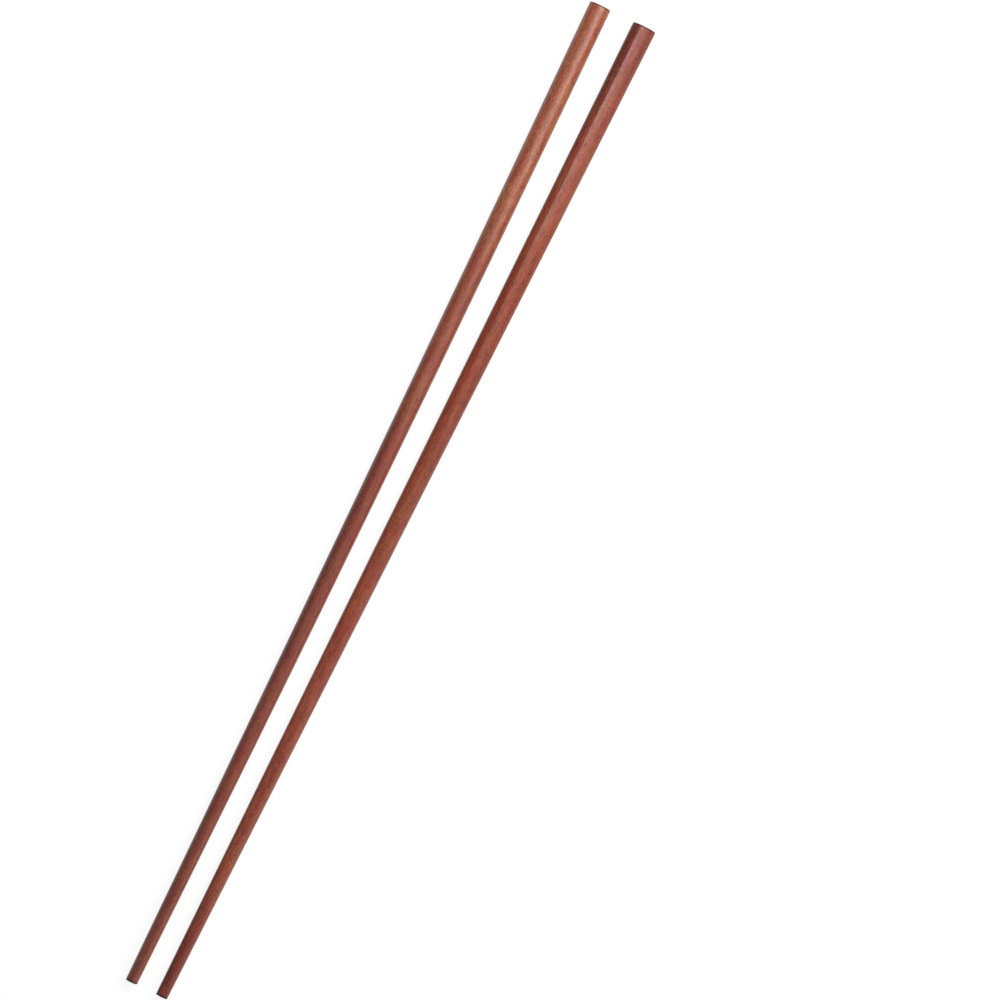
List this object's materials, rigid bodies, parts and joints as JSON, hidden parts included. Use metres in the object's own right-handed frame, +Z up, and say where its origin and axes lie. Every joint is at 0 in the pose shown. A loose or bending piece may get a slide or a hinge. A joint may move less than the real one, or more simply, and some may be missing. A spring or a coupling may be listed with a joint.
{
  "type": "pair of wooden chopsticks",
  "caption": "Long round hardwood cooking chopsticks with a two-stage taper and flat eased ends, lying side by side; for lifting, turning and stirring hot food.",
  "frame": {"origin": "on the table, under the middle of the pair", "axes": "+X along the pair from the tips to the butts, +Y towards the left chopstick, +Z up from the table"},
  "size_m": [0.42, 0.0282, 0.0096],
  "materials": {
    "hardwood": "oiled satin"
  },
  "bodies": {
    "root": {"left_chopstick": "hardwood", "right_chopstick": "hardwood"}
  },
  "joints": []
}
